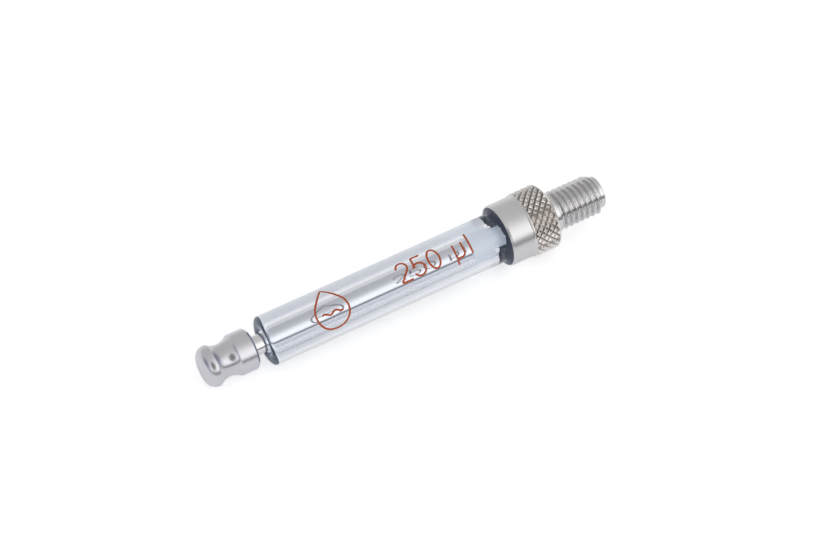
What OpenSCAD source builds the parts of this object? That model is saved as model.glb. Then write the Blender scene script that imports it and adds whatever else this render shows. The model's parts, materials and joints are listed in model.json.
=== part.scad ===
// Small glass syringe for a dispensing instrument, lying on a flat surface.
// A glass barrel is bonded into a turned metal fitting with a knurled grip and a
// threaded stud. A steel rod with a fluoropolymer tip slides in the bore and ends in a
// waisted button that a driver holds. All pieces turn about one axis.
// Heights along that axis are counted from the fitting's shoulder face, up towards
// the threaded end.

/* [Glass barrel] */
// Outer diameter of the glass barrel
barrel_d = 7.75; // [6.6:0.05:9.4]
// Bore of the glass barrel
bore_d = 3.26; // [2.6:0.02:4]
// Length of bore left behind the tip with the plunger drawn fully out
guide_len = 4.4; // [1.5:0.1:12]
// Height of the fire-polished rounding that runs across the wall at the open end
mouth_round = 0.6; // [0.2:0.05:1]
// Chamfer of the bonded end, on the radius
glass_edge = 0.25; // [0.1:0.05:0.5]

/* [Fitting] */
// Length of the fitting from its rim to its shoulder face
collar_len = 8.3; // [7:0.1:12]
// Metal left outside the resin at the rim, on the radius
rim_wall = 0.24; // [0.15:0.01:0.6]
// Depth of the bevel round the rim
rim_bevel = 0.3; // [0.1:0.05:0.5]
// Depth of the wide resin recess behind the rim
recess_len = 1.7; // [1:0.1:2.2]
// Solid metal between the glass socket and the shoulder face
web_t = 3.6; // [2.5:0.1:4.5]
// Chamfer of the shoulder face, on the radius
shoulder_chamfer = 0.35; // [0.1:0.05:0.6]

/* [Knurl] */
// Height of the knurl's points above the smooth skirt, on the radius
knurl_rise = 0.28; // [0.1:0.02:0.4]
// Depth of the knurl's grooves
knurl_depth = 0.38; // [0.15:0.01:0.44]
// Number of points round the grip
knurl_teeth = 24; // [18:1:40]
// Number of rows of low ground and points along the grip, end to end
knurl_rows = 7; // [4:1:10]
// Width of the knurled band
knurl_w = 3.9; // [2.5:0.1:4.2]

/* [Threaded stud] */
// Outer diameter of the thread
stud_d = 6.3; // [5:0.05:7]
// Length of the thread at its full diameter
thread_len = 8; // [5:0.1:12]
// Taper from the thread down to the pilot
thread_taper = 0.5; // [0.2:0.05:1]
// Diameter of the smooth pilot tip
pilot_d = 5.1; // [3.5:0.05:5.4]
// Length of the smooth pilot tip
pilot_len = 0.75; // [0.5:0.05:3]
// Chamfer of the pilot's end
pilot_chamfer = 0.2; // [0.1:0.05:0.4]
// Bore of the fluid port
port_d = 1.2; // [0.6:0.05:1.6]
// Countersink at the outer end of the port
port_flare = 0.3; // [0.1:0.05:0.5]

/* [Resin and seal] */
// Resin gap between the glass and its socket, on the radius
bond_gap = 0.1; // [0.05:0.01:0.2]
// Resin gap between the glass and the wide recess, on the radius
recess_gap = 0.755; // [0.5:0.005:1]
// Height to which the resin climbs the glass in front of the rim
resin_climb = 0.7; // [0.4:0.05:1.5]
// Fullness of the resin's hollow fillet, where 1 would meet the glass at no angle
resin_fullness = 1.25; // [1.1:0.05:3]
// Thickness of the sealing disc under the glass
disc_t = 0.8; // [0.5:0.05:1.5]

/* [Plunger] */
// Travel of the plunger out of the barrel
stroke = 30; // [24:1:40]
// Clearance between the rod and the bore, on the radius
rod_gap = 0.11; // [0.06:0.005:0.3]
// Running clearance between the tip and the bore, on the radius
tip_gap = 0.02; // [0.01:0.005:0.05]
// Length of the tip
tip_len = 9; // [7:0.1:9.5]
// Length of each sealing land of the tip
land_len = 3.4; // [2:0.1:3.4]
// Depth of the relief between the tip's two lands
land_relief = 0.08; // [0.04:0.01:0.15]
// Distance from the tip to the sealing disc with the plunger home
home_gap = 0.3; // [0.1:0.05:1]
// Bare rod between the button and the barrel with the plunger home
neck_len = 2; // [1:0.1:6]
// Diameter of the stub that carries the tip
stub_d = 1.6; // [1.2:0.05:1.9]
// Length of the stub in the tip
stub_len = 5.5; // [4:0.1:6]
// Height of the stub's barb
barb_h = 0.14; // [0.05:0.01:0.2]
// Length of the barb's slope
barb_len = 0.7; // [0.4:0.05:1.2]
// Glue clearance between the rod and the pieces fixed to it, on the radius
fix_gap = 0.01; // [0.005:0.005:0.03]

/* [Button] */
// Diameter of the button's head and of its body
button_d = 6.44; // [5.5:0.02:8]
// Length of the button
button_len = 8.2; // [7:0.1:11]
// Radius that rounds the end of the head
head_round = 1.6; // [0.6:0.05:1.9]
// Length of the head at its full diameter
head_land = 0.25; // [0.1:0.05:1]
// Depth of the waist, on the radius
waist_depth = 0.66; // [0.3:0.02:0.9]
// Radius of the waist's hollow
waist_r = 2.6; // [1.6:0.05:3]
// Chamfer where the button meets the rod
button_chamfer = 0.38; // [0.15:0.01:0.6]
// Depth of the hole that takes the rod
button_hole = 5.6; // [4:0.1:6]

/* [Hidden] */
$fn = 96;
mouth_facets = 12;

// Radii shared by the pieces that fit together
barrel_r = barrel_d / 2;
bore_r = bore_d / 2;
socket_r = barrel_r + bond_gap;
recess_r = barrel_r + recess_gap;
skirt_r = recess_r + rim_wall;
stud_r = stud_d / 2;
pilot_r = pilot_d / 2;
port_r = port_d / 2;
rod_r = bore_r - rod_gap;
tip_r = bore_r - tip_gap;
stub_r = stub_d / 2;
button_r = button_d / 2;

// Heights along the axis, from the shoulder face
rim_z = -collar_len;
floor_z = -web_t;
glass_end_z = floor_z - disc_t;
tip_front_z = glass_end_z - home_gap;
tip_back_z = tip_front_z - tip_len;
glass_mouth_z = tip_back_z - stroke - guide_len;
glass_round_z = glass_mouth_z + mouth_round;
resin_top_z = rim_z - resin_climb;
button_inner_z = glass_mouth_z - neck_len;
button_face_z = button_inner_z - button_len;
thread_end_z = thread_len;
pilot_z = thread_end_z + thread_taper;
stud_end_z = pilot_z + pilot_len;

// Knurl: diamond points on a grid of half a tooth round and as much along
knurl_tip_r = skirt_r + knurl_rise;
knurl_root_r = knurl_tip_r - knurl_depth;
knurl_lip_r = (knurl_tip_r + skirt_r) / 2;
knurl_core_r = knurl_root_r - 0.15;
knurl_hollow_r = knurl_core_r - 0.25;
knurl_end_z = -shoulder_chamfer;
knurl_start_z = knurl_end_z - knurl_w;
knurl_lip_w = 0.15;
knurl_lip_slope = 0.45;
knurl_bury = 0.06;
knurl_cols = 2 * knurl_teeth;
knurl_half_step = 180 / knurl_cols;

// The syringe rests on the first row of knurl points, half a step either side of its
// lowest line, and on the glass where the rounding of its mouth starts
rest_knurl_r = knurl_tip_r * cos(knurl_half_step);
rest_knurl_z = knurl_start_z + knurl_w / knurl_rows;
rest_tilt = atan((rest_knurl_r - barrel_r) / (rest_knurl_z - glass_round_z));
rest_height = rest_knurl_r * cos(rest_tilt) - rest_knurl_z * sin(rest_tilt);
rest_middle = (button_face_z + stud_end_z) / 2 * cos(rest_tilt);

// Lays a piece modelled upright on its side, with its thread towards +X
module laid() {
    translate([-rest_middle, 0, rest_height])
        rotate([0, 90 - rest_tilt, 0])
            rotate([0, 0, -knurl_half_step])
                children();
}

// Turns an outline of [radius, height] points into a solid
module turned(outline) {
    rotate_extrude() polygon(outline);
}

module glass_barrel() {
    middle_r = (barrel_r + bore_r) / 2;
    half_wall = (barrel_r - bore_r) / 2;
    facet = 180 / mouth_facets;
    mouth = [for (a = [0 : facet : 180])
             [middle_r - half_wall * cos(a), glass_round_z - mouth_round * sin(a)]];
    color("lightcyan", 0.45) laid() turned(concat(mouth, [
        [barrel_r, glass_end_z - glass_edge],
        [barrel_r - glass_edge, glass_end_z],
        [bore_r, glass_end_z]
    ]));
}

// One point of the knurl's grid: high where row and column are both odd or both even
function knurl_point(col, row) =
    let (high = (col + row) % 2 == 0 && row > 0 && row < knurl_rows,
         r = high ? knurl_tip_r : knurl_root_r,
         a = 360 * col / knurl_cols,
         bury = row == 0 ? -knurl_bury : row == knurl_rows ? knurl_bury : 0,
         z = knurl_start_z + knurl_w * row / knurl_rows + bury)
    [r * cos(a), r * sin(a), z];

function ring_point(col, z) =
    [knurl_hollow_r * cos(360 * col / knurl_cols), knurl_hollow_r * sin(360 * col / knurl_cols), z];

// Each cell of the grid folds along the line between its two low corners, so four
// cells meet in one pointed diamond
function knurl_cell(col, row) =
    let (next = (col + 1) % knurl_cols,
         a = row * knurl_cols + col,
         b = row * knurl_cols + next,
         c = (row + 1) * knurl_cols + next,
         d = (row + 1) * knurl_cols + col)
    (col + row) % 2 == 0 ? [[a, d, b], [b, d, c]] : [[a, c, b], [a, d, c]];

module knurl_ring() {
    outer = [for (row = [0 : knurl_rows], col = [0 : knurl_cols - 1]) knurl_point(col, row)];
    inner = [for (z = [knurl_start_z - knurl_bury, knurl_end_z + knurl_bury],
                  col = [0 : knurl_cols - 1]) ring_point(col, z)];
    low = len(outer);
    high = low + knurl_cols;
    last = knurl_rows * knurl_cols;
    skin = [for (row = [0 : knurl_rows - 1], col = [0 : knurl_cols - 1])
            each knurl_cell(col, row)];
    closing = [for (col = [0 : knurl_cols - 1]) let (next = (col + 1) % knurl_cols)
               each [[low + col, low + next, high + next, high + col],
                     [col, next, low + next, low + col],
                     [last + next, last + col, high + col, high + next]]];
    polyhedron(concat(outer, inner), concat(skin, closing));
}

module threaded_fitting() {
    color("silver") laid() union() {
        turned([
            [port_r, floor_z],
            [socket_r, floor_z],
            [socket_r, rim_z + recess_len],
            [recess_r, rim_z + recess_len],
            [recess_r, rim_z],
            [skirt_r, rim_z + rim_bevel],
            [skirt_r, knurl_start_z - knurl_lip_w - knurl_lip_slope],
            [knurl_lip_r, knurl_start_z - knurl_lip_w],
            [knurl_lip_r, knurl_start_z],
            [knurl_core_r, knurl_start_z],
            [knurl_core_r, knurl_end_z],
            [knurl_lip_r, knurl_end_z],
            [knurl_lip_r - shoulder_chamfer, 0],
            [stud_r, 0],
            [stud_r, thread_end_z],
            [pilot_r, pilot_z],
            [pilot_r, stud_end_z - pilot_chamfer],
            [pilot_r - pilot_chamfer, stud_end_z],
            [port_r + port_flare, stud_end_z],
            [port_r, stud_end_z - port_flare]
        ]);
        knurl_ring();
    }
}

// Cured resin fills the socket round the glass and climbs the glass in a hollow fillet
module bond_ring() {
    fillet_w = norm([recess_gap, resin_climb]);
    hollow_r = resin_fullness * fillet_w * fillet_w / (2 * min(recess_gap, resin_climb));
    away = sqrt(hollow_r * hollow_r - fillet_w * fillet_w / 4) / fillet_w;
    hollow_x = barrel_r + recess_gap / 2 + away * resin_climb;
    hollow_z = (rim_z + resin_top_z) / 2 - away * recess_gap;
    color("darkslategray") laid() rotate_extrude() difference() {
        polygon([
            [barrel_r, glass_end_z],
            [socket_r, glass_end_z],
            [socket_r, rim_z + recess_len],
            [recess_r, rim_z + recess_len],
            [recess_r, rim_z],
            [barrel_r, resin_top_z]
        ]);
        translate([hollow_x, hollow_z]) circle(r = hollow_r);
    }
}

module sealing_disc() {
    color("white") laid() turned([
        [port_r, glass_end_z],
        [barrel_r, glass_end_z],
        [barrel_r, floor_z],
        [port_r, floor_z]
    ]);
}

// The stub carries a barb whose flat back keeps the tip from pulling off
module plunger_rod() {
    stub_end_z = tip_back_z + stub_len;
    barb_z = stub_end_z - barb_len;
    color("gainsboro") laid() turned([
        [0, button_inner_z - button_hole],
        [rod_r, button_inner_z - button_hole],
        [rod_r, tip_back_z],
        [stub_r, tip_back_z],
        [stub_r, barb_z],
        [stub_r + barb_h, barb_z],
        [stub_r, stub_end_z],
        [0, stub_end_z]
    ]);
}

module plunger_tip() {
    stub_end_z = tip_back_z + stub_len + fix_gap;
    barb_z = tip_back_z + stub_len - barb_len - fix_gap;
    hole_r = stub_r + fix_gap;
    color("whitesmoke") laid() turned([
        [hole_r, tip_back_z],
        [tip_r, tip_back_z],
        [tip_r, tip_back_z + land_len],
        [tip_r - land_relief, tip_back_z + land_len + land_relief],
        [tip_r - land_relief, tip_front_z - land_len - land_relief],
        [tip_r, tip_front_z - land_len],
        [tip_r, tip_front_z - 2 * land_relief],
        [tip_r - land_relief, tip_front_z],
        [0, tip_front_z],
        [0, stub_end_z],
        [hole_r, stub_end_z],
        [hole_r + barb_h, barb_z],
        [hole_r, barb_z]
    ]);
}

module plunger_button() {
    round_z = button_face_z + head_round;
    waist_z = round_z + head_land + sqrt(waist_depth * (2 * waist_r - waist_depth));
    hole_r = rod_r + fix_gap;
    hole_z = button_inner_z - button_hole - fix_gap;
    color("darkgray") laid() rotate_extrude() difference() {
        polygon([
            [0, button_face_z],
            [button_r, button_face_z],
            [button_r, button_inner_z - button_chamfer],
            [button_r - button_chamfer, button_inner_z],
            [hole_r, button_inner_z],
            [hole_r, hole_z],
            [0, hole_z]
        ]);
        difference() {
            translate([button_r - head_round, button_face_z]) square(head_round);
            translate([button_r - head_round, round_z]) circle(r = head_round);
        }
        translate([button_r - waist_depth + waist_r, waist_z]) circle(r = waist_r);
    }
}

glass_barrel();
threaded_fitting();
bond_ring();
sealing_disc();
plunger_rod();
plunger_tip();
plunger_button();
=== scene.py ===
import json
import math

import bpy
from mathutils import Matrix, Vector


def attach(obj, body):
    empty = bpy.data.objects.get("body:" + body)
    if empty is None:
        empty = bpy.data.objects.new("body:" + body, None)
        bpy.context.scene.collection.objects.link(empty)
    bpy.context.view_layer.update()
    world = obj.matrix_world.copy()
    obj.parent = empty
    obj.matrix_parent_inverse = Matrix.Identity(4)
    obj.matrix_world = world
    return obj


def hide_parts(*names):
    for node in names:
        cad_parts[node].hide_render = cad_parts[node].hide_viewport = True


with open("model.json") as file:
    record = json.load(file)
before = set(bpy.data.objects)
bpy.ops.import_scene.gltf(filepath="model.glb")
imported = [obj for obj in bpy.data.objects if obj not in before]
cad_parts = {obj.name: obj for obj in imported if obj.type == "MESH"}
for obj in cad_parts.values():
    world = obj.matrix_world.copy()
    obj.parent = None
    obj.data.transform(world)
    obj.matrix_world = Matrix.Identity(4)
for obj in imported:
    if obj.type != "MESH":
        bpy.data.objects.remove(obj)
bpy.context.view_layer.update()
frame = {"nodes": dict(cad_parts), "record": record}

# The looks of a small glass dispensing syringe: every visible piece is turned again at a
# finer grain round the CAD axis, with the real thread, the knurl, the print on the glass
# and a material of its own. Lengths are in millimetres along and round that axis until
# at() turns them into metres in the shared frame.

MM = 0.001
MOUNTS = {mount["name"]: mount for mount in frame["record"]["mounts"]}

# The syringe's axis, taken from its threaded stud. Heights count from the shoulder face.
STUD = MOUNTS["thread_stud"]
AXIS = Vector(STUD["axis"]).normalized()
SIDE = Vector((0, -1, 0))
UP = SIDE.cross(AXIS)

# The shoulder's mount lies on that face beside the axis, so it is moved back onto it.
SHOULDER = Vector(MOUNTS["shoulder_face"]["pos_m"])
SHOULDER -= SIDE * (SHOULDER - Vector(STUD["pos_m"])).dot(SIDE)


def extent(cad_node):
    """Lowest and highest station of a CAD node along the axis, and its largest radius."""
    stations, radii = [], []
    for vertex in frame["nodes"][cad_node].data.vertices:
        offset = vertex.co - SHOULDER
        station = offset.dot(AXIS)
        stations.append(station / MM)
        radii.append((offset - AXIS * station).length / MM)
    return min(stations), max(stations), max(radii)


def at(radius, turn, station):
    """A point in metres. turn is in degrees from straight up, towards the viewer."""
    angle = math.radians(turn)
    out = UP * math.cos(angle) + SIDE * math.sin(angle)
    return SHOULDER + (AXIS * station + out * radius) * MM


# ---------------------------------------------------------------- outlines

def arc(centre, radius, start, end, steps):
    """Points (radius, station) on an arc between two angles in degrees."""
    points = []
    for i in range(steps + 1):
        angle = math.radians(start + (end - start) * i / steps)
        points.append((centre[0] + radius * math.cos(angle),
                       centre[1] + radius * math.sin(angle)))
    return points


ALMOST_STRAIGHT = 89.5   # half of a corner's angle, in degrees, that needs no rounding
CORNER_SHARE = 0.45      # of an edge of the outline, that one rounded corner may take
GUARD_SHARE = 0.12       # of that again, to a guard point that keeps the shading flat


def soften(corners, ease, steps=5, closed=True):
    """Rounds the corners of an outline. A corner is (x, y) or (x, y, its own radius)."""
    count = len(corners)
    points = []
    for i, corner in enumerate(corners):
        here = Vector(corner[:2])
        radius = corner[2] if len(corner) > 2 else ease
        end_of_line = not closed and i in (0, count - 1)
        if radius == 0 or end_of_line:
            points.append(tuple(here))
            continue
        back = Vector(corners[i - 1][:2]) - here
        ahead = Vector(corners[(i + 1) % count][:2]) - here
        half = back.angle(ahead) / 2
        if half > math.radians(ALMOST_STRAIGHT):
            points.append(tuple(here))
            continue
        reach = min(radius / math.tan(half),
                    CORNER_SHARE * back.length, CORNER_SHARE * ahead.length)
        radius = reach * math.tan(half)
        back.normalize()
        ahead.normalize()
        centre = here + (back + ahead).normalized() * radius / math.sin(half)
        first, last = here + back * reach - centre, here + ahead * reach - centre
        guard = GUARD_SHARE * reach
        points.append(tuple(centre + first + back * guard))
        for k in range(steps + 1):
            points.append(tuple(centre + first.slerp(last, k / steps) * radius))
        points.append(tuple(centre + last + ahead * guard))
    return points


# ---------------------------------------------------------------- meshes

def mesh_object(name, vertices, faces, sharp=40):
    """A smooth-shaded piece. Edges turn sharp where they bend by more than sharp degrees."""
    mesh = bpy.data.meshes.new(name)
    mesh.from_pydata([tuple(v) for v in vertices], [], faces)
    mesh.validate()
    mesh.polygons.foreach_set("use_smooth", [True] * len(mesh.polygons))
    mesh.set_sharp_from_angle(angle=math.radians(sharp))
    piece = bpy.data.objects.new(name, mesh)
    bpy.context.scene.collection.objects.link(piece)
    return piece


def turned(name, outline, segments=192, relief=None, sharp=40):
    """Turns a closed outline of (radius, station) points. relief may change a radius."""
    vertices, rings, hollows = [], [], []
    for radius, station in outline:
        if radius < 1e-6:
            vertices.append(at(0, 0, station))
            rings.append([len(vertices) - 1] * segments)
            continue
        ring = []
        for k in range(segments):
            turn = 360 * k / segments
            shaped = relief(radius, turn, station) if relief else radius
            hollows.append(radius - shaped)
            ring.append(len(vertices))
            vertices.append(at(shaped, turn, station))
        rings.append(ring)
    faces = []
    for i, ring in enumerate(rings):
        other = rings[(i + 1) % len(rings)]
        for k in range(segments):
            n = (k + 1) % segments
            corners = (ring[k], ring[n], other[n], other[k])
            face = [c for j, c in enumerate(corners) if c not in corners[:j]]
            if len(face) > 2:
                faces.append(face)
    piece = mesh_object(name, vertices, faces, sharp)
    if relief:
        cut = piece.data.attributes.new("hollow", "FLOAT", "POINT")
        cut.data.foreach_set("value", hollows)
    return piece


# ---------------------------------------------------------------- sizes of the pieces

GLASS_FOOT, GLASS_HEAD, GLASS_R = extent("glass_barrel")
FITTING_LOW, STUD_END, KNURL_TIP_R = extent("threaded_fitting")
RESIN_LOW, RESIN_HIGH, RECESS_R = extent("bond_ring")
DISC_LOW, DISC_HIGH, DISC_R = extent("sealing_disc")
ROD_LOW, ROD_HIGH, ROD_R = extent("plunger_rod")
TIP_LOW, TIP_HIGH, TIP_R = extent("plunger_tip")
BUTTON_LOW, BUTTON_HIGH, BUTTON_R = extent("plunger_button")

TOUCH = 0.003            # how far a wetted surface reaches into the glass, so light crosses
BORE_R = TIP_R + 0.02    # the tip runs with 0.02 mm of clearance in CAD
MOUTH_ROUND = 0.6        # how far along the tube its rounded mouth reaches
MOUTH_STEPS = 32
MOUTH_GUARD = 0.02       # from the round to a guard point that keeps the shading flat
GLASS_EDGE = 0.25

RECESS_DEPTH = 1.7
SOCKET_R = GLASS_R + 0.1             # the resin fills this gap beside the glass
RIM_WALL = 0.24
RIM_LAND = 0.09          # flat ring at the end of the rim, inside its bevel
RIM_BEVEL = 0.3
RIM_BREAK = 0.04
SKIRT_R = RECESS_R + RIM_WALL
PORT_R = 0.6
PORT_FLARE = 0.3

RESIN_CLIMB = FITTING_LOW - RESIN_LOW
RESIN_FULLNESS = 1.25    # over 1, the fillet is less hollow than a quarter circle
RESIN_WAVES = ((0.08, 3), (0.07, 8), (0.05, 19), (0.04, 37))    # height, count round it
RESIN_DIP = 0.38         # the resin climbs less on the viewer's side
RESIN_DIP_WIDTH = 26     # half the width of that dip, in degrees
RESIN_STEP = 0.02        # how far inside the rim it starts to reach into the wall

KNURL_TEETH = 24
KNURL_ROWS = 7
KNURL_W = 3.9
KNURL_DEPTH = 0.38
KNURL_CROSS = 0.93       # how sharp one set of cuts is beside the other
KNURL_TURN = 90 / KNURL_TEETH        # degrees that bring it to where the photo has it
KNURL_FLAT = 0.78        # share of the full height at which the points are worn flat
KNURL_TOP_R = KNURL_TIP_R - 0.015    # the flats are wide, and a full radius would sink them
KNURL_GRAIN = 6          # mesh rows to each row of the knurl
SHOULDER_CHAMFER = 0.35
KNURL_END = -SHOULDER_CHAMFER
KNURL_START = KNURL_END - KNURL_W
KNURL_LIP_R = (KNURL_TIP_R + SKIRT_R) / 2
KNURL_LIP_W = 0.15       # plain ring between the skirt and the knurl, and its slope
KNURL_LIP_SLOPE = 0.15

STUD_R = STUD["dims"]["r_mm"]
THREAD_LEN = STUD["dims"]["length_mm"]
THREAD_PITCH = 0.944
THREAD_DEPTH = 0.6134 * THREAD_PITCH    # as deep as a metric thread of that pitch
THREAD_CREST = 1 / 16    # half of the flat on a crest, in pitches
THREAD_ROOT = 1 / 10     # half of the flat in a root, in pitches
THREAD_ROUNDING = 0.35   # 0 gives straight flanks, 1 a smooth wave
THREAD_START = 1.05      # end of the plain neck between shoulder and thread
THREAD_RUN_IN = 0.4      # length over which the thread reaches its full depth
THREAD_TAPER = 0.5       # length of the cone down to the pilot, past the thread
THREAD_PHASE = 0.03      # turns by which the thread is set round the stud
THREAD_GRAIN = 18        # mesh rows to each turn of the thread
PILOT_R = 2.55
PILOT_CHAMFER = 0.2

ROD_STUB_R = 0.8         # the rod's thin end, inside the white tip
TIP_LAND = 3.4           # length of the tip's wetted bands, at both of its ends
TIP_RELIEF = 0.08        # how far the tip's middle stands clear of the bore
ROD_FIT = 0.01           # gap between the rod and the hole in the button
BUTTON_HEAD_ROUND = 1.6
BUTTON_HEAD_LAND = 0.25
BUTTON_WAIST_DEPTH = 0.66
BUTTON_WAIST_R = 2.6
BUTTON_CHAMFER = 0.38
BUTTON_GUARD = 0.1       # from the round to a guard point that keeps the shading flat
BUTTON_HOLE_DEPTH = 0.3  # of the gap round the rod, which is closed further in


def saw(x):
    """Distance from x to the nearest whole number."""
    return abs(x - round(x))


def clamped(x):
    return min(max(x, 0), 1)


def knurl_radius(turn, station):
    """Diamond points on a grid of half a tooth round and one row along."""
    column = turn * KNURL_TEETH / 180
    row = (station - KNURL_START) * KNURL_ROWS / KNURL_W
    height = 1 - 2 * max(saw((column + row) / 2), KNURL_CROSS * saw((column - row) / 2))
    return KNURL_TOP_R - KNURL_DEPTH * (1 - min(height, KNURL_FLAT) / KNURL_FLAT)


def thread_radius(turn, station, limit):
    """A right-hand 60 degree thread, flat on its crests and round in its roots."""
    off_crest = saw(station / THREAD_PITCH - turn / 360 - THREAD_PHASE)
    fall = clamped((off_crest - THREAD_CREST) / (0.5 - THREAD_ROOT - THREAD_CREST))
    wave = fall * fall * (3 - 2 * fall)
    fall = wave * THREAD_ROUNDING + fall * (1 - THREAD_ROUNDING)
    cut_in = clamped((station - THREAD_START) / THREAD_RUN_IN)
    return min(STUD_R - THREAD_DEPTH * fall * cut_in, limit)


def fitting_relief(radius, turn, station):
    """Cuts the knurl and the thread, and leaves the socket and the port inside them round."""
    outside_socket = radius > SOCKET_R + 0.2
    outside_port = radius > PORT_R + 1
    in_knurl = KNURL_START + 0.01 < station < KNURL_END - 0.01
    in_thread = THREAD_START < station < THREAD_LEN + THREAD_TAPER
    if in_knurl and outside_socket:
        return knurl_radius(turn + KNURL_TURN, station)
    if in_thread and outside_port:
        return thread_radius(turn, station, radius)
    return radius


def fitting_outline():
    """The fitting's section, with fine rows where the knurl and the thread are cut."""
    skirt = soften([
        (SOCKET_R, FITTING_LOW + RECESS_DEPTH),
        (RECESS_R, FITTING_LOW + RECESS_DEPTH),
        (RECESS_R, FITTING_LOW, RIM_BREAK),
        (RECESS_R + RIM_LAND, FITTING_LOW, RIM_BREAK),
        (SKIRT_R, FITTING_LOW + RIM_BEVEL),
        (SKIRT_R, KNURL_START - KNURL_LIP_W - KNURL_LIP_SLOPE, 0.3),
        (KNURL_LIP_R, KNURL_START - KNURL_LIP_W, 0.15),
        (KNURL_LIP_R, KNURL_START)], 0.08, closed=False)
    rows = KNURL_ROWS * KNURL_GRAIN
    knurl = [(KNURL_LIP_R, KNURL_START + KNURL_W * i / rows) for i in range(1, rows)]
    shoulder = soften([
        (KNURL_LIP_R, KNURL_END),
        (KNURL_LIP_R - SHOULDER_CHAMFER, 0),
        (STUD_R, 0),
        (STUD_R, THREAD_START)], 0.06, closed=False)
    step = THREAD_PITCH / THREAD_GRAIN
    turns = int((THREAD_LEN + THREAD_TAPER - THREAD_START) / step)
    thread = []
    for i in range(1, turns + 1):
        station = THREAD_START + step * i
        taper = max(0, station - THREAD_LEN) * (STUD_R - PILOT_R) / THREAD_TAPER
        thread.append((STUD_R - taper, station))
    tip = soften([
        (PILOT_R, THREAD_LEN + THREAD_TAPER),
        (PILOT_R, STUD_END - PILOT_CHAMFER),
        (PILOT_R - PILOT_CHAMFER, STUD_END),
        (PORT_R + PORT_FLARE, STUD_END),
        (PORT_R, STUD_END - PORT_FLARE),
        (PORT_R, DISC_HIGH),
        (SOCKET_R, DISC_HIGH)], 0.05, closed=False)
    return skirt + knurl + shoulder + thread + tip


# ---------------------------------------------------------------- materials

def node(tree, kind, **values):
    made = tree.nodes.new(kind)
    for name, value in values.items():
        setattr(made, name, value)
    return made


def math_node(tree, operation, first, second=None):
    made = node(tree, "ShaderNodeMath", operation=operation)
    for socket, value in zip(made.inputs, (first, second)):
        if isinstance(value, (int, float)):
            socket.default_value = value
        elif value is not None:
            tree.links.new(value, socket)
    return made.outputs[0]


def along_and_round(tree):
    """Sockets for the station along the axis and the place beside it, up and side, in mm."""
    place = node(tree, "ShaderNodeTexCoord").outputs["Object"]
    offset = node(tree, "ShaderNodeVectorMath", operation="SUBTRACT")
    tree.links.new(place, offset.inputs[0])
    offset.inputs[1].default_value = SHOULDER
    return [dot(tree, offset.outputs[0], direction / MM) for direction in (AXIS, UP, SIDE)]


def noise(tree, vector, scale, detail=3.0):
    made = node(tree, "ShaderNodeTexNoise")
    made.inputs["Scale"].default_value = scale
    made.inputs["Detail"].default_value = detail
    tree.links.new(vector, made.inputs["Vector"])
    return made.outputs["Fac"]


def combine(tree, x, y, z):
    made = node(tree, "ShaderNodeCombineXYZ")
    for socket, value in zip(made.inputs, (x, y, z)):
        if isinstance(value, (int, float)):
            socket.default_value = value
        else:
            tree.links.new(value, socket)
    return made.outputs[0]


def ranged(tree, value, start, end, low=0.0, high=1.0, smooth=False):
    """Maps start to end onto low to high, in a straight line or by a smooth step."""
    made = node(tree, "ShaderNodeMapRange")
    if smooth:
        made.interpolation_type = "SMOOTHSTEP"
    for name, number in (("From Min", start), ("From Max", end),
                         ("To Min", low), ("To Max", high)):
        made.inputs[name].default_value = number
    tree.links.new(value, made.inputs["Value"])
    return made.outputs[0]


def mix(tree, factor, first, second, blend="MIX"):
    """Mixes two colours. Each, and the factor, is a socket or a plain value."""
    made = node(tree, "ShaderNodeMix", data_type="RGBA", blend_type=blend)
    sockets = (made.inputs["Factor"], made.inputs[6], made.inputs[7])
    for socket, value in zip(sockets, (factor, first, second)):
        if isinstance(value, tuple):
            socket.default_value = (*value, 1)
        elif isinstance(value, float):
            socket.default_value = value
        else:
            tree.links.new(value, socket)
    return made.outputs[2]


def dot(tree, vector, direction):
    made = node(tree, "ShaderNodeVectorMath", operation="DOT_PRODUCT")
    tree.links.new(vector, made.inputs[0])
    made.inputs[1].default_value = direction
    return made.outputs["Value"]


def source_of(socket):
    """The output that feeds a socket, so that more can be laid over it."""
    return socket.links[0].from_socket


def bump(tree, shader, height, depth_mm, strength=1.0):
    made = node(tree, "ShaderNodeBump")
    made.inputs["Strength"].default_value = strength
    made.inputs["Distance"].default_value = depth_mm * MM
    tree.links.new(height, made.inputs["Height"])
    tree.links.new(made.outputs[0], shader.inputs["Normal"])


def material(name):
    made = bpy.data.materials.new(name)
    made.use_nodes = True
    tree = made.node_tree
    return made, tree, tree.nodes["Principled BSDF"]


def metal(name, dark, light, rough, lines, grain, depth_mm):
    """Turned or blasted metal. lines is the share of the tool's rings in its relief."""
    made, tree, shader = material(name)
    along, up, side = along_and_round(tree)
    shader.inputs["Metallic"].default_value = 1.0
    rings = noise(tree, combine(tree, along, 0.0, 0.0), scale=9.0, detail=6.0)
    specks = noise(tree, combine(tree, along, up, side), scale=grain, detail=4.0)
    stains = noise(tree, combine(tree, along, up, side), scale=0.35)
    height = math_node(tree, "ADD", math_node(tree, "MULTIPLY", rings, lines),
                       math_node(tree, "MULTIPLY", specks, 1 - lines))
    wear = math_node(tree, "MULTIPLY", math_node(tree, "ADD", height, stains), 0.5)
    tree.links.new(mix(tree, stains, dark, light), shader.inputs["Base Color"])
    tree.links.new(ranged(tree, wear, 0.0, 1.0, rough * 0.7, rough * 1.3),
                   shader.inputs["Roughness"])
    bump(tree, shader, height, depth_mm)
    return made


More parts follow.
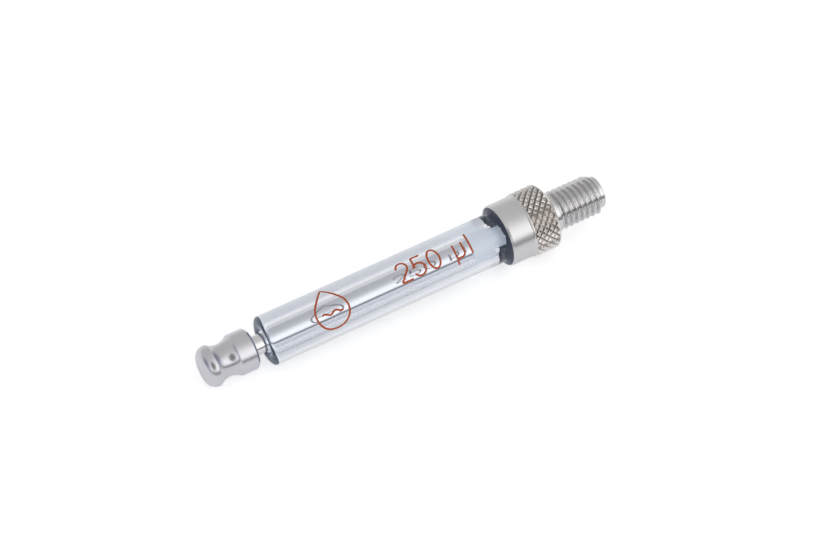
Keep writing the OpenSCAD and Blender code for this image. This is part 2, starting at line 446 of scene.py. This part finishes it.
def cut_metal():
    """The fitting: a satin skirt, a warmer knurl and a bright thread. Their cuts are darkened
    partly by dirt and partly by painted shade.
    """
    made = metal("fitting_metal", (0.65, 0.645, 0.645), (0.71, 0.705, 0.705),
                 rough=0.2, lines=0.7, grain=40, depth_mm=0.002)
    tree = made.node_tree
    shader = tree.nodes["Principled BSDF"]
    colour, roughness = shader.inputs["Base Color"], shader.inputs["Roughness"]
    along = along_and_round(tree)[0]
    hollow = node(tree, "ShaderNodeAttribute", attribute_name="hollow").outputs["Fac"]
    # Partly dirt, partly painted shade: cuts darken with how deep they lie, much less on the
    # thread than on the knurl.
    dirt_and_shade = ranged(tree, hollow, 0.03, 0.8 * KNURL_DEPTH, smooth=True)
    on_grip = ranged(tree, along, -0.2, 0.2, 1.0, 0.08)
    past_skirt = ranged(tree, along, KNURL_START - 0.1, KNURL_START)
    dirt_and_shaded = mix(tree, math_node(tree, "MULTIPLY", dirt_and_shade, on_grip),
                source_of(colour), (0.12, 0.10, 0.085), "MULTIPLY")
    warm = mix(tree, math_node(tree, "MULTIPLY", past_skirt, on_grip),
               dirt_and_shaded, (1.18, 1.12, 1.06), "MULTIPLY")
    tree.links.new(warm, colour)
    satin = ranged(tree, along, KNURL_START - 0.6, KNURL_START - 0.2, 0.09, -0.03)
    tree.links.new(math_node(tree, "ADD", source_of(roughness), satin), roughness)
    return made


def plastic(name, dark, light, rough, depth_mm, shine=0.5, glow=0.0):
    """Resin, polymer or print. glow stands in for the light scattered inside it."""
    made, tree, shader = material(name)
    along, up, side = along_and_round(tree)
    cloud = noise(tree, combine(tree, along, up, side), scale=0.8, detail=4.0)
    rings = noise(tree, combine(tree, along, 0.0, 0.0), scale=6.0, detail=4.0)
    tree.links.new(mix(tree, cloud, dark, light), shader.inputs["Base Color"])
    tree.links.new(ranged(tree, cloud, 0.0, 1.0, rough * 0.85, rough * 1.15),
                   shader.inputs["Roughness"])
    shader.inputs["Specular IOR Level"].default_value = shine
    if glow:
        shader.inputs["Emission Color"].default_value = (0.72, 0.85, 1.0, 1)
        shader.inputs["Emission Strength"].default_value = glow
    bump(tree, shader, rings, depth_mm, 0.5)
    return made


def facing_axis(tree):
    """1 where the surface faces the syringe's axis, else 0."""
    _, up, side = along_and_round(tree)
    normal = node(tree, "ShaderNodeNewGeometry").outputs["True Normal"]
    outward = math_node(tree, "ADD", math_node(tree, "MULTIPLY", dot(tree, normal, UP), up),
                        math_node(tree, "MULTIPLY", dot(tree, normal, SIDE), side))
    return math_node(tree, "LESS_THAN", outward, 0.0)


def enamel():
    """Fired orange print. Its underside, which the rod mirrors, is painted paler: painted
    light that keeps its reflection in the rod faint.
    """
    made = plastic("print_orange", (0.40, 0.068, 0.015), (0.56, 0.108, 0.025),
                   rough=0.4, depth_mm=0.002, shine=0.2)
    tree = made.node_tree
    colour = tree.nodes["Principled BSDF"].inputs["Base Color"]
    # Painted light: the side facing the axis is painted paler.
    tree.links.new(mix(tree, facing_axis(tree), source_of(colour), (0.78, 0.66, 0.62)),
                   colour)
    return made


def resin():
    """Dark cured resin. Where it wets the glass, as seen through it, it is painted paler in
    blotches: painted light.
    """
    made = plastic("bond_resin", (0.043, 0.052, 0.080), (0.060, 0.070, 0.106),
                   rough=0.22, depth_mm=0.002, shine=0.3)
    tree = made.node_tree
    colour = tree.nodes["Principled BSDF"].inputs["Base Color"]
    along, up, side = along_and_round(tree)
    past_edge = ranged(tree, along, RESIN_LOW + 0.05, RESIN_LOW + 0.3, smooth=True)
    not_deep = ranged(tree, math_node(tree, "MULTIPLY", along, -1.0),
                      -FITTING_LOW - 0.9, -FITTING_LOW - 0.2, smooth=True)
    # Painted light: the face against the glass, seen through it, is made paler in blotches.
    wet_face_painted_light = math_node(tree, "MULTIPLY", facing_axis(tree),
                       math_node(tree, "MULTIPLY", past_edge, not_deep))
    cloud = noise(tree, combine(tree, along, up, side), scale=1.6, detail=4.0)
    painted_light_blotches = ranged(tree, cloud, 0.35, 0.6, smooth=True)
    tree.links.new(mix(tree, math_node(tree, "MULTIPLY", wet_face_painted_light, painted_light_blotches),
                       source_of(colour), (0.26, 0.29, 0.32)), colour)
    return made


def clear_glass():
    """Clear glass with the faintest smears. Its fire-polished mouth has a faint blue glow
    painted on it: painted light.
    """
    made, tree, shader = material("clear_glass")
    along, up, side = along_and_round(tree)
    drawn_out = math_node(tree, "MULTIPLY", along, 0.3)
    smears = noise(tree, combine(tree, drawn_out, up, side), scale=0.6, detail=4.0)
    shader.inputs["Base Color"].default_value = (0.92, 0.94, 0.98, 1)
    shader.inputs["Transmission Weight"].default_value = 1.0
    shader.inputs["Specular Tint"].default_value = (0.80, 0.88, 1.0, 1)
    shader.inputs["IOR"].default_value = 1.53
    tree.links.new(ranged(tree, smears, 0.0, 1.0, 0.0, 0.02), shader.inputs["Roughness"])
    mouth = GLASS_FOOT + MOUTH_ROUND
    # Painted light: a faint blue glow on the mouth, fading out past it.
    shader.inputs["Emission Color"].default_value = (0.4, 0.65, 1.0, 1)
    tree.links.new(ranged(tree, along, mouth - 0.1, mouth + 0.1, 0.055, 0.0),
                   shader.inputs["Emission Strength"])
    return made


GLASS = clear_glass()
RESIN = resin()
FITTING_METAL = cut_metal()
ROD_STEEL = metal("rod_steel", (0.76, 0.755, 0.765), (0.82, 0.815, 0.825),
                  rough=0.12, lines=0.6, grain=30, depth_mm=0.0008)
BUTTON_METAL = metal("button_metal", (0.61, 0.60, 0.63), (0.69, 0.68, 0.71),
                     rough=0.25, lines=0.35, grain=45, depth_mm=0.003)
SEAL_WHITE = plastic("seal_white", (0.90, 0.93, 0.97), (0.95, 0.97, 0.99),
                     rough=0.25, depth_mm=0.002, glow=0.24)
PRINT = enamel()


def finish_piece(piece, body, slot, look, *replaced):
    """Gives a piece its look and body, and hides the CAD nodes that it stands for. slot is
    not used.
    """
    piece.data.materials.append(look)
    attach(piece, body)
    if replaced:
        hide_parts(*replaced)


# ---------------------------------------------------------------- the pieces

VIEWER_TURN = 36.6       # the turn that faces the camera


def make_glass():
    """The tube. Its open end is fire-polished to a round that runs across the wall."""
    middle, half_wall = (GLASS_R + BORE_R) / 2, (GLASS_R - BORE_R) / 2
    start = GLASS_FOOT + MOUTH_ROUND
    mouth = [(BORE_R, start + MOUTH_GUARD)]
    for i in range(MOUTH_STEPS + 1):
        angle = math.pi * i / MOUTH_STEPS
        mouth.append((middle - half_wall * math.cos(angle),
                      start - MOUTH_ROUND * math.sin(angle)))
    end = soften([
        (GLASS_R, start + MOUTH_GUARD), (GLASS_R, GLASS_HEAD - GLASS_EDGE),
        (GLASS_R - GLASS_EDGE, GLASS_HEAD), (BORE_R, GLASS_HEAD)], 0.1, closed=False)
    return turned("barrel_glass", mouth + end, segments=384)


def make_fitting():
    return turned("collar_and_stud", fitting_outline(), segments=288,
                  relief=fitting_relief, sharp=24)


def resin_fillet():
    """The resin's hollow surface, an arc from the glass up to the fitting's rim."""
    gap = RECESS_R - GLASS_R
    span = math.hypot(gap, RESIN_CLIMB)
    hollow = RESIN_FULLNESS * span * span / (2 * min(gap, RESIN_CLIMB))
    away = math.sqrt(hollow * hollow - span * span / 4) / span
    centre = (GLASS_R + gap / 2 + away * RESIN_CLIMB,
              FITTING_LOW - RESIN_CLIMB / 2 - away * gap)
    start = math.degrees(math.atan2(RESIN_LOW - centre[1], GLASS_R - centre[0]))
    end = math.degrees(math.atan2(FITTING_LOW - centre[1], RECESS_R - centre[0]))
    fillet = arc(centre, hollow, start % 360, end, 14)
    fillet[0] = (GLASS_R - TOUCH, fillet[0][1])
    return fillet


def resin_unevenness(turn):
    """How much less than RESIN_CLIMB the resin climbs, in mm, at a turn in radians."""
    waves = sum(tall * math.sin(count * turn + count) for tall, count in RESIN_WAVES)
    from_viewer = (math.degrees(turn) - VIEWER_TURN) / RESIN_DIP_WIDTH
    return waves + RESIN_DIP * math.exp(-from_viewer ** 4)


def make_resin():
    """The cured resin: a hollow fillet whose edge on the glass is hand-laid and uneven."""
    floor = FITTING_LOW + RECESS_DEPTH + TOUCH
    piece = turned("resin_fillet", [(GLASS_R - TOUCH, RESIN_HIGH)] + resin_fillet() + [
        (RECESS_R + TOUCH, FITTING_LOW + RESIN_STEP),
        (RECESS_R + TOUCH, floor),
        (SOCKET_R + TOUCH, floor),
        (SOCKET_R + TOUCH, RESIN_HIGH)], segments=256)
    for vertex in piece.data.vertices:
        offset = vertex.co - SHOULDER
        above_rim = FITTING_LOW - offset.dot(AXIS) / MM
        if above_rim > 0:
            turn = math.atan2(offset.dot(SIDE), offset.dot(UP))
            vertex.co += AXIS * (resin_unevenness(turn) * above_rim / RESIN_CLIMB * MM)
    return piece


def make_disc():
    return turned("seal_disc", soften([
        (PORT_R, DISC_LOW), (DISC_R, DISC_LOW), (DISC_R, DISC_HIGH),
        (PORT_R, DISC_HIGH)], 0.05), segments=128)


def make_rod():
    return turned("steel_rod", soften([
        (0, ROD_LOW, 0), (ROD_R, ROD_LOW), (ROD_R, TIP_LOW), (ROD_STUB_R, TIP_LOW),
        (ROD_STUB_R, ROD_HIGH), (0, ROD_HIGH, 0)], 0.05), segments=192)


def make_tip():
    """The white tip. Its two bands touch the glass and the middle stands clear of it."""
    wet = BORE_R + TOUCH
    dry = wet - TIP_RELIEF
    return turned("sealing_tip", soften([
        (0, TIP_LOW, 0),
        (wet, TIP_LOW),
        (wet, TIP_LOW + TIP_LAND),
        (dry, TIP_LOW + TIP_LAND + TIP_RELIEF),
        (dry, TIP_HIGH - TIP_LAND - TIP_RELIEF),
        (wet, TIP_HIGH - TIP_LAND),
        (wet, TIP_HIGH - 2 * TIP_RELIEF),
        (dry, TIP_HIGH),
        (0, TIP_HIGH, 0)], 0.04), segments=192)


def make_button():
    """The button: a rounded head, a hollow waist and a plain body with a chamfer."""
    half = math.sqrt(BUTTON_WAIST_DEPTH * (2 * BUTTON_WAIST_R - BUTTON_WAIST_DEPTH))
    round_end = BUTTON_LOW + BUTTON_HEAD_ROUND
    waist = round_end + BUTTON_HEAD_LAND + half
    centre = (BUTTON_R - BUTTON_WAIST_DEPTH + BUTTON_WAIST_R, waist)
    swing = math.degrees(math.asin(half / BUTTON_WAIST_R))
    head = arc((BUTTON_R - BUTTON_HEAD_ROUND, round_end), BUTTON_HEAD_ROUND, -90, 0, 16)
    hollow = arc(centre, BUTTON_WAIST_R, 180 + swing, 180 - swing, 28)
    hole_r, back = ROD_R + ROD_FIT, BUTTON_HIGH - BUTTON_HOLE_DEPTH
    outline = [(0, BUTTON_LOW), (head[0][0] - BUTTON_GUARD, BUTTON_LOW)] + head
    outline += soften([head[-1], hollow[0], hollow[1]], 0.2, closed=False)[1:-1]
    outline += hollow[1:-1]
    outline += soften([
        hollow[-2], (*hollow[-1], 0.05), (BUTTON_R, BUTTON_HIGH - BUTTON_CHAMFER),
        (BUTTON_R - BUTTON_CHAMFER, BUTTON_HIGH), (hole_r, BUTTON_HIGH)],
        0.08, closed=False)[1:]
    outline += [(hole_r, back), (0, back)]
    return turned("waisted_button", outline, segments=224, sharp=45)


# ---------------------------------------------------------------- print on the glass

STROKE_W = 0.30
STROKE_STEP = 0.12       # strokes are cut about this fine, so they bend round the glass
CAP_ANGLES = (30, 60, 82)
CAP_LEAN = 3             # the last cap keeps the heading of this many sections earlier
INK_UP = 0.012           # how far the print stands off the glass, and reaches into it
INK_EDGE = 0.6 * INK_UP
INK_DOWN = 0.004
INK_PROFILE = ((1, -INK_DOWN), (1, INK_EDGE), (0, INK_UP), (-1, INK_EDGE), (-1, -INK_DOWN))

MARK_H = 3.05            # height of the figures and of the long letter
MARK_SMALL_H = 2.1
MARK_TURN = VIEWER_TURN + 9
MARK_STARTS = (-26.25, -23.7, -21.15, -16.95, -14.25)    # left edge of each figure
DROP_TURN = VIEWER_TURN - 9.5
DROP_MIDDLE = -37.7
DROP_BOWL_R = 2.65
DROP_BOWL_UP = -0.75
DROP_TOP = 3.45


def finely(path):
    """The points of a path, with more set between those that are far apart."""
    fine = [Vector(path[0])]
    for point in path[1:]:
        start, end = fine[-1], Vector(point)
        pieces = max(1, int((end - start).length / STROKE_STEP))
        fine += [start.lerp(end, (k + 1) / pieces) for k in range(pieces)]
    return fine


def round_cap(end, inner, normal):
    """Narrowing sections beyond the end of a stroke, the widest first."""
    outward = (end - inner).normalized()
    cap = []
    for angle in CAP_ANGLES:
        reach = math.sin(math.radians(angle)) * STROKE_W / 2
        breadth = math.cos(math.radians(angle)) * STROKE_W / 2
        cap.append((end + outward * reach, normal, breadth))
    return cap


def ribbon(path, origin, base_turn):
    """One printed stroke, laid round the glass. Path points are (along, up) in mm."""
    fine = finely(path)
    looped = (fine[0] - fine[-1]).length < 1e-6
    sections = []
    for i, point in enumerate(fine):
        before = fine[i - 1] if i else (fine[-2] if looped else point)
        after = fine[i + 1] if i < len(fine) - 1 else (fine[1] if looped else point)
        heading = (after - before).normalized()
        sections.append((point, Vector((-heading.y, heading.x)), STROKE_W / 2))
    if looped:
        sections.pop()
    else:
        first = round_cap(fine[0], fine[1], sections[0][1])
        last = round_cap(fine[-1], fine[-2], sections[-1 - CAP_LEAN][1])
        sections = first[::-1] + sections + last
    vertices = []
    for point, normal, breadth in sections:
        for side, lift in INK_PROFILE:
            spot = point + normal * breadth * side
            turn = base_turn - math.degrees(spot.y / GLASS_R)
            vertices.append(at(GLASS_R + lift, turn, origin + spot.x))
    across = len(INK_PROFILE)
    faces = []
    for i in range(len(sections) if looped else len(sections) - 1):
        a, b = i * across, (i + 1) % len(sections) * across
        for k in range(across):
            n = (k + 1) % across
            faces.append((a + k, b + k, b + n, a + n))
    if not looped:
        faces.append(tuple(range(across)))
        faces.append(tuple(reversed(range(len(vertices) - across, len(vertices)))))
    return vertices, faces


def printed(name, strokes):
    """Joins strokes of (path, origin, base turn) into one thin piece on the glass."""
    vertices, faces = [], []
    for path, origin, base_turn in strokes:
        more, more_faces = ribbon(path, origin, base_turn)
        faces += [tuple(index + len(vertices) for index in face) for face in more_faces]
        vertices += more
    return mesh_object(name, vertices, faces, sharp=60)


def glyphs():
    """Stroke paths of the capacity mark's five signs, each from its own left edge."""
    two = arc((0.92, MARK_H - 0.88), 0.88, 168, -28, 20)
    two += soften([two[-1], (0.06, 0.0), (1.85, 0.0)], 0.12, closed=False)[1:]
    five = soften([(1.62, MARK_H), (0.3, MARK_H), (0.22, 1.52)], 0.08, closed=False)
    five_bowl = arc((0.85, 0.98), 0.98, 148, -150, 26)
    nought = []
    for degrees in range(90, 451, 10):
        angle = math.radians(degrees)
        nought.append((0.95 + 0.9 * math.cos(angle), MARK_H / 2 * (1 + math.sin(angle))))
    micro_left = [(0.14, MARK_SMALL_H), (0.14, -0.85)]
    micro_bowl = soften([(0.14, 0.75), (0.14, 0.0), (1.55, 0.0), (1.55, MARK_SMALL_H)],
                        0.6, 8, closed=False)
    letter_l = [(0.0, MARK_H), (0.0, 0.0)]
    return (two,), (five, five_bowl), (nought,), (micro_left, micro_bowl), (letter_l,)


def make_capacity_mark():
    strokes = []
    for start, paths in zip(MARK_STARTS, glyphs()):
        strokes += [(path, start, MARK_TURN) for path in paths]
    return printed("capacity_mark", strokes)


def make_drop_mark():
    """A plain drop outline with a liquid line, a generic mark."""
    touch = math.degrees(math.acos(DROP_BOWL_R / (DROP_TOP - DROP_BOWL_UP)))
    bowl = arc((0, DROP_BOWL_UP), DROP_BOWL_R, 90 - touch, -270 + touch, 40)
    outline = [(0.0, DROP_TOP)] + bowl + [(0.0, DROP_TOP)]
    level = [(x / 10, DROP_BOWL_UP - 0.1 + 0.2 * math.sin(x / 10 * 3.4))
             for x in range(-16, 17)]
    return printed("drop_mark", [(outline, DROP_MIDDLE, DROP_TURN),
                                 (level, DROP_MIDDLE, DROP_TURN)])


finish_piece(make_glass(), "barrel", "clear_glass", GLASS, "glass_barrel")
finish_piece(make_fitting(), "barrel", "fitting_metal", FITTING_METAL, "threaded_fitting")
finish_piece(make_resin(), "barrel", "bond_resin", RESIN, "bond_ring")
finish_piece(make_disc(), "barrel", "seal_white", SEAL_WHITE, "sealing_disc")
finish_piece(make_rod(), "plunger", "rod_steel", ROD_STEEL, "plunger_rod")
finish_piece(make_tip(), "plunger", "seal_white", SEAL_WHITE, "plunger_tip")
finish_piece(make_button(), "plunger", "button_metal", BUTTON_METAL, "plunger_button")
finish_piece(make_capacity_mark(), "barrel", "print_orange", PRINT)
finish_piece(make_drop_mark(), "barrel", "print_orange", PRINT)


# ---------------------------------------------------------------- stage, light, camera

VIEW_AZIMUTH, VIEW_ELEVATION = math.radians(-29.61), math.radians(49.19)
VIEW_BACK = Vector((math.sin(VIEW_AZIMUTH) * math.cos(VIEW_ELEVATION),
                    -math.cos(VIEW_AZIMUTH) * math.cos(VIEW_ELEVATION),
                    math.sin(VIEW_ELEVATION)))
FLOOR_HALF = 3.0         # metres, as all sizes of the stage
FLAG_HALF = 0.5
FLAG_NEAR = -0.045
FLAG_FAR = -0.7
FLAG_UP = 0.0003

# Grey of the studio round the syringe: degrees from the front horizon, over the top, to
# the back horizon, each with its brightness.
STUDIO = ((0, 0.24), (6, 0.26), (10, 0.60), (15, 1.15), (21, 1.40), (45, 1.38), (55, 1.20),
          (62, 1.08), (70, 0.94), (78, 0.80), (88, 0.69), (105, 0.64), (150, 0.62),
          (170, 0.68), (180, 0.8))
STUDIO_ENDS = (0.29, 0.34, 0.46)     # what the studio is dimmed to at its two ends
LENS_BELOW = 0.17        # how far the dark spot lies below the way to the camera
LENS_EDGES = (27, 17)    # degrees from its middle to where the spot starts and is full
LENS_GREY = 0.18         # what the room is dimmed to there


def sheet(name, low, high, lift, colour):
    """A flat matt sheet between two corners (x, y) in metres, part of the stage only."""
    corners = [(low[0], low[1], lift), (high[0], low[1], lift),
               (high[0], high[1], lift), (low[0], high[1], lift)]
    piece = mesh_object(name, corners, [(0, 1, 2, 3)])
    look, tree, shader = material(name + "_matt")
    shader.inputs["Base Color"].default_value = (*colour, 1)
    shader.inputs["Roughness"].default_value = 0.9
    piece.data.materials.append(look)
    return piece, tree, shader


def camera_ray(tree):
    """1 for rays straight from the camera, else 0."""
    return node(tree, "ShaderNodeLightPath").outputs["Is Camera Ray"]


def make_flag():
    """A black card lying in front, out of the camera's sight, for the metal to reflect."""
    flag = sheet("black_flag", (-FLAG_HALF, FLAG_FAR), (FLAG_HALF, FLAG_NEAR), FLAG_UP,
                 (0.09, 0.10, 0.135))[0]
    flag.visible_camera = False
    flag.visible_diffuse = False
    flag.visible_shadow = False


def make_floor():
    """A white floor that glows a little, more so straight into the camera."""
    _, tree, shader = sheet("floor", (-FLOOR_HALF, -FLOOR_HALF), (FLOOR_HALF, FLOOR_HALF), 0,
                            (0.9, 0.9, 0.9))
    glow = mix(tree, camera_ray(tree), (0.238, 0.245, 0.265), (0.5, 0.5, 0.5))
    tree.links.new(glow, shader.inputs["Emission Color"])
    shader.inputs["Emission Strength"].default_value = 1.0
    shader.inputs["Specular IOR Level"].default_value = 0.0


def make_light():
    """A white tent: bright in front, greyer overhead, dark at its ends, its front edge and
    the camera's own side. The camera itself sees pure white behind the part.
    """
    world = bpy.data.worlds.new("studio")
    bpy.context.scene.world = world
    world.use_nodes = True
    tree = world.node_tree
    direction = node(tree, "ShaderNodeTexCoord").outputs["Generated"]
    split = node(tree, "ShaderNodeSeparateXYZ")
    tree.links.new(direction, split.inputs[0])
    x, y, z = split.outputs
    angle = math_node(tree, "ARCTAN2", z, math_node(tree, "MULTIPLY", y, -1.0))
    tent = node(tree, "ShaderNodeValToRGB")
    tree.links.new(math_node(tree, "DIVIDE", angle, math.pi), tent.inputs[0])
    tent.color_ramp.elements[0].position = STUDIO[0][0] / 180
    tent.color_ramp.elements[1].position = STUDIO[-1][0] / 180
    for degrees, _ in STUDIO[1:-1]:
        tent.color_ramp.elements.new(degrees / 180)
    for element, (_, grey) in zip(tent.color_ramp.elements, STUDIO):
        element.color = (grey, grey, grey, 1)
    to_end = ranged(tree, math_node(tree, "ABSOLUTE", x), 0.7, 1.0, smooth=True)
    ends = mix(tree, to_end, (1.0, 1.0, 1.0), STUDIO_ENDS)
    room = mix(tree, 1.0, tent.outputs[0], ends, "MULTIPLY")
    lens_way = (VIEW_BACK - Vector((0, 0, LENS_BELOW))).normalized()
    edge, core = (math.cos(math.radians(degrees)) for degrees in LENS_EDGES)
    lens = ranged(tree, dot(tree, direction, lens_way), edge, core, 1.0, LENS_GREY,
                  smooth=True)
    shade = node(tree, "ShaderNodeVectorMath", operation="SCALE")
    tree.links.new(room, shade.inputs[0])
    tree.links.new(lens, shade.inputs["Scale"])
    tree.links.new(mix(tree, camera_ray(tree), shade.outputs[0], (1.0, 1.0, 1.0)),
                   tree.nodes["Background"].inputs["Color"])


def make_camera():
    """The photograph's view: a long lens, looking down with the thread end further off."""
    distance, focal_px = 480.0, 3235.0       # in millimetres and in pixels
    frame_w, frame_h = 840, 550
    mid_station = -24.7          # the point of the axis that the view was measured at
    mid_px = (402.8, 279.3)      # where that point lies in the frame
    per_mm = focal_px / distance
    shift_x = (mid_px[0] - frame_w / 2) / per_mm
    shift_y = (frame_h / 2 - mid_px[1]) / per_mm
    right = Vector((math.cos(VIEW_AZIMUTH), math.sin(VIEW_AZIMUTH), 0))
    up = VIEW_BACK.cross(right)
    data = bpy.data.cameras.new("camera")
    data.sensor_width = 36.0
    data.lens = focal_px * data.sensor_width / frame_w
    data.clip_start = 0.01
    data.clip_end = 50
    camera = bpy.data.objects.new("camera", data)
    bpy.context.scene.collection.objects.link(camera)
    camera.location = at(0, 0, mid_station)
    camera.location += (VIEW_BACK * distance - right * shift_x - up * shift_y) * MM
    camera.rotation_euler = VIEW_BACK.to_track_quat("Z", "Y").to_euler()
    bpy.context.scene.camera = camera


make_floor()
make_flag()
make_light()
make_camera()
bpy.context.scene.view_settings.view_transform = "Standard"
